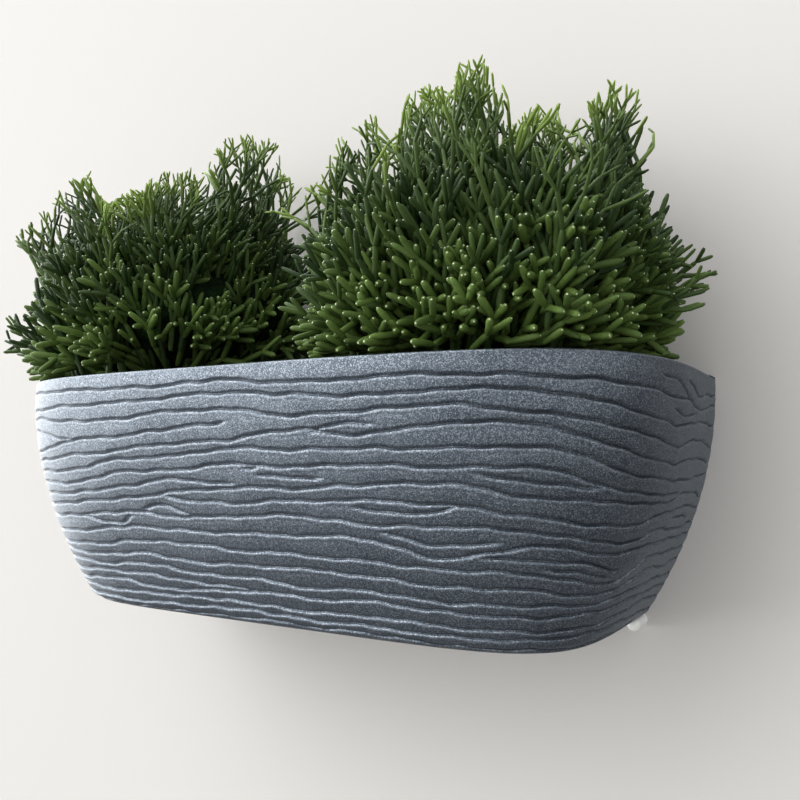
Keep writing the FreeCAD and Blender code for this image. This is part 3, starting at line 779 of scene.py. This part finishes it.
class Plant:
    """One potted plant: it grows its stem joints and turns them into pieces."""

    def __init__(self, side, seed, middle, reach, skyline, edge, arms, counts, gap):
        self.side, self.middle, self.reach = side, middle, reach
        self.centre = np.array(middle[:2])
        self.skyline, self.edge = np.array(skyline).T, np.array(edge).T
        self.arms, self.gap = arms, gap
        self.fan_count, self.upright_count, self.skirt_count = counts
        self.below = 0.0
        self.random = np.random.default_rng(seed)
        self.joints = []

    def allowed(self, p, radius):
        """Whether a stem's end is on its own side, clear of wall and shell, and within the edges."""
        room = radius + STEM_ROOM
        side = p[0] < SPLIT_X - room if self.side == "left" else p[0] > SPLIT_X + room
        over_shell = HIGHEST_STEM > p[2] > PLANT_BASE_Z + room
        off_wall = FRONT_STEM < p[1] < -WALL_ROOM - room
        return side and over_shell and off_wall and self.within(*seen_from_camera(p))

    def within(self, x, z):
        """Whether a place in the plants' upright plane lies within this plant's edges."""
        farthest = np.interp(z, *self.edge)
        beside = x > farthest if self.side == "left" else x < farthest
        return beside and z < np.interp(x, *self.skyline) - self.below

    def turned(self, heading, angle, around):
        """The heading tilted by an angle, towards a direction round it."""
        helper = (0.0, 0.0, 1.0) if abs(heading[2]) < 0.9 else (1.0, 0.0, 0.0)
        across = np.cross(heading, helper)
        across /= np.linalg.norm(across)
        other = np.cross(heading, across)
        out = math.cos(around) * across + math.sin(around) * other
        return heading * math.cos(angle) + out * math.sin(angle)

    def grow(self, foot, heading, habit, slimmer, tone, young, level=0):
        """A joint, and the joints that fork from its end."""
        rnd = self.random
        length = habit.lengths[level] * rnd.uniform(*LENGTH_VARIES)
        radius = (habit.radii[level] - slimmer) * rnd.uniform(*RADIUS_VARIES)
        end = foot + heading * length
        shade = tone + rnd.uniform(-TONE_VARIES, TONE_VARIES)
        if not self.allowed(end, radius):
            return
        last = level + 1 == len(habit.lengths)
        seen_x, seen_z = seen_from_camera(end)
        under = (np.interp(seen_x, *self.skyline) - seen_z) / YOUNG_GROWTH
        fresh = young * float(np.clip(1 - under, 0.0, 1.0))
        self.joints.append((foot, end, radius, float(last), shade, fresh))
        if last:
            return
        count = rnd.choice((1, 2, 3), p=habit.forks)
        spread = habit.spread if count > 1 else STRAIGHT_ON
        around = rnd.uniform(0, FULL_TURN)
        start = end - heading * radius * JOINT_OVERLAP
        for i in range(count):
            bend = math.radians(rnd.uniform(*spread))
            way = self.turned(heading, bend, around + FULL_TURN * i / count)
            self.grow(start, way, habit, slimmer, shade, young, level + 1)

    def sprig(self, tip, heading, habit, slimmer=0.0, *, tone, young):
        """A forking sprig whose outermost tips arrive about at a place."""
        heading = heading / np.linalg.norm(heading)
        foot = tip - heading * (sum(habit.lengths) * SPRIG_RUN)
        self.grow(foot, heading, habit, slimmer, tone, young)

    def outline(self, angle):
        """How far the plant spreads from its middle, in one direction seen from above."""
        c, s = math.cos(angle), math.sin(angle)
        power = PLANT_SQUARENESS
        reach = (abs(c) ** power + abs(s) ** power) ** (-1 / power)
        lobes = 1 + 0.05 * math.sin(5 * angle + self.middle[0]) + 0.035 * math.sin(9 * angle + 1)
        return np.array((self.reach[0] * c, self.reach[1] * s)) * reach * lobes

    def crown_height(self, x, y):
        """Height of the upright stems over a place: low at the edge and tall in the middle."""
        far = math.hypot((x - self.middle[0]) / self.reach[0], (y - self.middle[1]) / self.reach[1])
        front = max(0.0, (self.middle[1] - y) / self.reach[1])
        rise = 1 - min(1.0, far) ** 7
        lump = 9 * math.sin(x * 0.085 + 1.0) + 6 * math.sin(x * 0.19 + y * 0.1)
        fall = 1 - CROWN_FRONT_FALL * front**1.3
        return CROWN_LOW + (CROWN_HIGH - CROWN_LOW) * rise * fall + lump

    def grow_fans(self):
        """Thin young sprigs that stand up to the skyline."""
        rnd = self.random
        for _ in range(self.fan_count):
            flat = self.centre + self.outline(rnd.uniform(0, FULL_TURN)) * rnd.uniform(0, 1) ** 0.5
            seen_x, _ = seen_from_camera(np.array((*flat, 150.0)))
            high = np.interp(seen_x, *self.skyline) - abs(rnd.normal(0, 5)) - FAN_BELOW_SKYLINE
            tip = np.array((*flat, from_camera_height(flat[1], high)))
            if tip[2] > HIGHEST_STEM - 2:
                continue
            lean = (flat - self.centre) * FAN_LEAN + rnd.normal(0, 0.09, 2)
            self.sprig(tip, np.array((*lean, 1.0)), FAN, tone=0.34, young=1.0)

    def grow_arms(self):
        """Pairs of long low sprigs that reach out past the ends."""
        for tip in self.arms:
            way = np.array(tip) - (*self.centre, ARM_ROOT_Z)
            way = way / np.linalg.norm(way) + (0, 0, 0.1)
            for _ in range(2):
                place = np.array(tip) + self.random.normal(0, 2, 3)
                self.sprig(place, way, ARM, tone=0.4, young=0.3)

    def grow_uprights(self):
        """The crown over the pot, slimmer and lighter where it is tall."""
        rnd = self.random
        for _ in range(self.upright_count):
            angle, far = rnd.uniform(0, FULL_TURN), math.sqrt(rnd.uniform(0, 1))
            flat = self.centre + self.outline(angle) * far * CROWN_SHARE
            top = self.crown_height(*flat) + rnd.normal(0, 6)
            tip = np.array((*flat, top))
            if self.gap(tip):
                continue
            self.below = rnd.uniform(*UPRIGHTS_BELOW)
            lean = (flat - self.centre) / 85 * 0.5
            way = np.array((*lean, 1.0)) + rnd.normal(0, 0.10, 3)
            thin = float(np.clip((top - PLANT_BASE_Z - THIN_FROM) / THIN_RANGE, 0, 1))
            # painted shade: the crown's stems get a dark tone, a little less dark where they are tall
            self.sprig(tip, way, UPRIGHT, 0.4 * thin, tone=0.17 + 0.1 * thin, young=0.10 + 0.5 * thin)
        self.below = 0.0

    def grow_skirt(self):
        """The thick low sprigs that lean out over the rim."""
        rnd = self.random
        for _ in range(self.skirt_count):
            angle, share = rnd.uniform(0, FULL_TURN), rnd.uniform(0, 1) ** 1.2
            edge = self.outline(angle) * (1.0 - 0.10 * share)
            tip = np.array((*(self.centre + edge), SKIRT_FOOT + SKIRT_RISE * share))
            tip += rnd.normal(0, 2, 3)
            tip[2] = max(tip[2], SKIRT_LOWEST)
            if self.gap(tip) and rnd.uniform() < 0.9:
                continue
            out = edge / np.linalg.norm(edge)
            way = np.array((*out, 0.02 + 0.95 * share)) + rnd.normal(0, 0.13, 3)
            if share < FLAT_SKIRT:
                way[2] = rnd.uniform(-0.08, 0.10)
            # painted light: the skirt's stems get a light tone, lightest where they lie low over the rim
            self.sprig(tip, way, SKIRT, tone=0.88 - 0.28 * share, young=0.34 - 0.14 * share)

    def grow_bare_stems(self):
        """Thick bare stems, two joints each, from the soil up through the pot's mouth."""
        rnd = self.random
        pot = np.array((-POT_X if self.side == "left" else POT_X, POT_Y, SOIL_Z))
        for _ in range(BARE_STEMS):
            turn, far = rnd.uniform(0, FULL_TURN), rnd.uniform(6, 34)
            out = np.array((math.cos(turn), math.sin(turn), 0.0)) * far
            foot = pot + out
            for _ in range(2):
                end = foot + (out * 0.006 + (0, 0, 1.0)) * rnd.uniform(18, 24)
                self.joints.append((foot, end, rnd.uniform(2.0, 2.7), 0.0, 0.25, 0.0))
                foot = end

    def fill(self):
        self.grow_fans()
        self.grow_arms()
        self.grow_uprights()
        self.grow_skirt()
        self.grow_bare_stems()

    def pieces(self, pattern, material):
        body, node = f"potted_{self.side}", f"plant_{self.side}"
        starts = range(0, len(self.joints), PIECE_JOINTS)
        for number, start in enumerate(starts, 1):
            joints = self.joints[start : start + PIECE_JOINTS]
            stems(f"{node}_stems_{number}", joints, pattern, material, body, node)

    def core(self, material):
        """A dark lump in the plant's middle that stands in for its shadow, seen only between its stems."""
        deselect()
        bpy.ops.mesh.primitive_uv_sphere_add(segments=56, ring_count=28, radius=1)
        heart = added(f"plant_{self.side}_heart")
        base = self.middle[2] + HEART_FOOT
        for v in heart.data.vertices:
            d = v.co.copy()
            x, y = self.outline(math.atan2(d.y, d.x)) * math.hypot(d.x, d.y) * HEART_SHARE
            if (x > 0) == (self.side == "left"):
                x *= HEART_WIDER
            z = base + HEART_RISE * (d.z + 1) / 2
            lump = HEART_LUMP * math.sin(x * 0.21) * math.sin(y * 0.23) * math.sin(z * 0.3 + 1)
            x, y = x + self.middle[0] + lump, y + self.middle[1] + lump * 0.6
            v.co = Vector((x, y, z + abs(lump) * 0.4)) * MM
        smooth(heart)
        dress(heart, f"potted_{self.side}", "plant_stems", material, f"plant_{self.side}")


def stems(name, joints, pattern, material, body, node):
    """One piece from many stem joints."""
    points, faces = pattern
    foot = np.array([j[0] for j in joints])
    end = np.array([j[1] for j in joints])
    radius, last, tone, young = (np.array([j[k] for j in joints])[:, None] for k in (2, 3, 4, 5))
    along = end - foot
    length = np.linalg.norm(along, axis=1)[:, None]
    w = along / length
    helper = np.where(np.abs(w[:, 2:3]) < 0.9, (0.0, 0.0, 1.0), (1.0, 0.0, 0.0))
    u = np.cross(helper, w)
    u /= np.linalg.norm(u, axis=1)[:, None]
    v = np.cross(w, u)
    share = np.broadcast_to(points[None, :, 2], (len(joints), len(points)))
    bow = np.sin(share * math.pi) * length * JOINT_BOW
    place = (
        foot[:, None]
        + (points[None, :, 0] * radius + bow)[..., None] * u[:, None]
        + (points[None, :, 1] * radius)[..., None] * v[:, None]
        + share[..., None] * along[:, None]
    )
    shift = (np.arange(len(joints)) * len(points))[:, None, None]
    piece = mesh_piece(name, place.reshape(-1, 3) * MM, (faces[None] + shift).reshape(-1, 3))
    smooth(piece)
    at_tip = np.clip((share - TIP_BEGINS) / TIP_LENGTH, 0, 1)
    add_value(piece, "tone", np.broadcast_to(tone, share.shape).ravel())
    add_value(piece, "young", (young * (YOUNG_FOOT + (1 - YOUNG_FOOT) * share)).ravel())
    add_value(piece, "tip", (at_tip * last * PALE_TIP).ravel())
    dress(piece, body, "plant_stems", material, node)


# ---------------------------------------------------------------- soil

SOIL_SIDES = 72
SOIL_FOOT, SOIL_TOP = 0.735, 0.995     # its radius there, as a share of the CAD cone's top
SOIL_RINGS = 14
RING_SHARE = 15.2                      # this many rings' widths make the radius
SOIL_SEEDS = {"left": 31, "right": 32}
CRUMBS_DOWN, CRUMBS_UP, CRUMBS_ASIDE = -2.6, 0.6, 0.9


def lumpy_soil(side, material):
    """The soil in a pot: its CAD cone with a crumbled top."""
    low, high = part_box(f"soil_{side}")
    radius = (high[0] - low[0]) / 2
    middle = ((low[0] + high[0]) / 2, (low[1] + high[1]) / 2)
    deselect()
    bpy.ops.mesh.primitive_cone_add(
        vertices=SOIL_SIDES, radius1=radius * SOIL_FOOT, radius2=radius * SOIL_TOP,
        depth=high[2] - low[2], location=(*middle, (low[2] + high[2]) / 2),
    )
    soil = added(f"soil_{side}_lumps")
    bpy.ops.object.transform_apply(location=True)
    mesh = bmesh.new()
    mesh.from_mesh(soil.data)
    top = max(mesh.faces, key=lambda f: f.calc_center_median().z)
    for _ in range(SOIL_RINGS):
        bmesh.ops.inset_region(mesh, faces=[top], thickness=radius / RING_SHARE)
    random = np.random.default_rng(SOIL_SEEDS[side])
    for v in mesh.verts:
        far = math.hypot(v.co.x - middle[0], v.co.y - middle[1]) / radius
        if v.co.z > high[2] - 1e-4 and far < 0.97:
            v.co.z += float(random.uniform(CRUMBS_DOWN, CRUMBS_UP)) * MM
            v.co.x += float(random.uniform(-CRUMBS_ASIDE, CRUMBS_ASIDE)) * MM
            v.co.y += float(random.uniform(-CRUMBS_ASIDE, CRUMBS_ASIDE)) * MM
    mesh.to_mesh(soil.data)
    mesh.free()
    smooth(soil)
    dress(soil, f"potted_{side}", "potting_soil", material, f"soil_{side}")


# ---------------------------------------------------------------- stage, light and camera

STAGE_WIDTH = 5.0
WALL_HEIGHT, FLOOR_DEPTH = 3.6, 4.0
WALL_BEHIND = 0.0004     # the wall stands this far behind the part's wall face
FLOOR_DROP = 0.9


def one_sided_white(name, colour):
    """A pale matt wall or floor that can be looked through from behind."""
    kit = Kit(name, Roughness=0.9)
    kit.feed(Base_Color=kit.blend(kit.noise(1.3, 2.0, 0.5), colour, tuple(c * 0.97 for c in colour)))
    back = kit.node("ShaderNodeNewGeometry", out="Backfacing")
    clear = kit.node("ShaderNodeBsdfTransparent")
    front = Value(kit, kit.shader.outputs[0])
    kit.show(kit.node("ShaderNodeMixShader", {}, {"Fac": back, 1: front, 2: clear}), "Material Output")
    return kit.material


def stage_sheet(name, depth, finish):
    """A level sheet for the wall or the floor."""
    deselect()
    bpy.ops.mesh.primitive_plane_add(size=1)
    sheet = added(name)
    bpy.ops.transform.resize(value=(STAGE_WIDTH, depth, 1))
    bpy.ops.object.transform_apply(scale=True)
    paint(sheet, finish)
    return sheet


def stage():
    wall_paint = one_sided_white("pale wall paint", (0.56, 0.53, 0.502))
    wall = stage_sheet("stage_wall", WALL_HEIGHT, wall_paint)
    wall.data.transform(Matrix.Rotation(math.radians(90), 4, "X"))
    wall.data.transform(Matrix.Translation((0, WALL_BEHIND, WALL_HEIGHT / 2 - FLOOR_DROP)))
    floor_paint = one_sided_white("pale floor", (0.29, 0.285, 0.277))
    floor = stage_sheet("stage_floor", FLOOR_DEPTH, floor_paint)
    floor.data.transform(Matrix.Translation((0, -FLOOR_DEPTH / 2, -FLOOR_DROP)))
    # the room's light passes the wall, and neither sheet shows in the shell's gloss
    wall.visible_diffuse = wall.visible_shadow = False
    wall.visible_glossy = floor.visible_glossy = False


def soft_lamp(name, place, aim, size, power, colour):
    lamp = bpy.data.lights.new(name, "AREA")
    lamp.shape, lamp.size, lamp.energy, lamp.color = "DISK", size, power, colour
    holder = bpy.data.objects.new(name, lamp)
    bpy.context.scene.collection.objects.link(holder)
    way = Vector(aim) - Vector(place)
    holder.matrix_world = Matrix.Translation(place) @ way.to_track_quat("-Z", "Y").to_matrix().to_4x4()


def light():
    """Soft daylight from the upper left, which falls off towards the right of the room."""
    world = bpy.data.worlds.new("soft room light")
    bpy.context.scene.world = world
    world.use_nodes = True
    room = Nodes(world.node_tree)
    way = room.node("ShaderNodeTexCoord", out="Generated")

    def comes_from(side, facing, strength):
        share = room.node("ShaderNodeVectorMath", {"operation": "DOT_PRODUCT"}, {0: way, 1: side}, "Value")
        return room.node(
            "ShaderNodeMapRange", {"interpolation_type": "SMOOTHSTEP"},
            {"Value": share, "From Min": facing[0], "From Max": facing[1],
             "To Min": strength[0], "To Max": strength[1]},
        )

    level = comes_from(*DAYLIGHT) + comes_from(*CEILING_LIGHT)
    soft = room.node("ShaderNodeBackground", {}, {"Color": (0.95, 0.98, 1.0, 1), "Strength": level})
    seen = room.node("ShaderNodeBackground", {}, {"Color": (0.94, 0.93, 0.92, 1)})
    by_camera = room.node("ShaderNodeLightPath", out="Is Camera Ray")
    mixed = room.node("ShaderNodeMixShader", {}, {"Fac": by_camera, 1: soft, 2: seen})
    room.show(mixed, "World Output")
    soft_lamp(
        "window", place=(-2.2, -1.0, 1.2), aim=(0.0, -0.05, 0.02), size=1.3, power=8.5,
        colour=(1.0, 0.985, 0.96),
    )


def camera():
    view = bpy.data.cameras.new("camera")
    view.lens, view.sensor_width = CAMERA_LENS, CAMERA_FILM
    view.clip_start = NEAREST_SEEN
    holder = bpy.data.objects.new("camera", view)
    bpy.context.scene.collection.objects.link(holder)
    tilt, roll, heading = (math.radians(a) for a in CAMERA_TURN)
    holder.matrix_world = (
        Matrix.Translation(CAMERA_PLACE)
        @ Matrix.Rotation(heading, 4, "Z")
        @ Matrix.Rotation(tilt, 4, "X")
        @ Matrix.Rotation(roll, 4, "Z")
    )
    bpy.context.scene.camera = holder
    bpy.context.scene.view_settings.view_transform = "Standard"


# ---------------------------------------------------------------- the whole planter


def main():
    plastic = speckled_plastic()
    # the inside is copied from the CAD shell before the skin replaces it
    shell_inside(plastic)
    shell_skin(plastic)
    pattern = joint_shape()
    skin, shade, soil = stem_skin(), shade_of_stems(), potting_soil()
    left = Plant(
        "left", seed=11, middle=(-112.0, -85.0, 38.0), reach=(91.0, 75.0), skyline=LEFT_SKYLINE,
        edge=LEFT_EDGE, arms=LEFT_ARMS, counts=(46, 320, 280),
        gap=lambda p: p[0] > HOLLOW_X and p[2] < HOLLOW_Z and p[1] < HOLLOW_Y,
    )
    right = Plant(
        "right", seed=12, middle=(100.0, -84.0, 38.0), reach=(95.0, 80.0), skyline=RIGHT_SKYLINE,
        edge=RIGHT_EDGE, arms=RIGHT_ARMS, counts=(54, 360, 340), gap=lambda p: False,
    )
    for plant in (left, right):
        plant.fill()
        plant.pieces(pattern, skin)
        plant.core(shade)
        lumpy_soil(plant.side, soil)
    finishes = {
        "drain_plug": moulded("black rubber", (0.018, 0.018, 0.02), 0.6),
        "wall_rail": white_enamel(),
        "rail_screws": zinc_steel(),
        "peg_pins": zinc_steel(),
        "nursery_pot": moulded("black pot plastic", (0.03, 0.03, 0.032), 0.5),
        "corner_peg": moulded("white peg plastic", (0.74, 0.73, 0.69), 0.4),
    }
    for name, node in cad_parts.items():
        for part, material in finishes.items():
            if name.startswith(part):
                paint(node, material)
    stage()
    light()
    camera()


main()
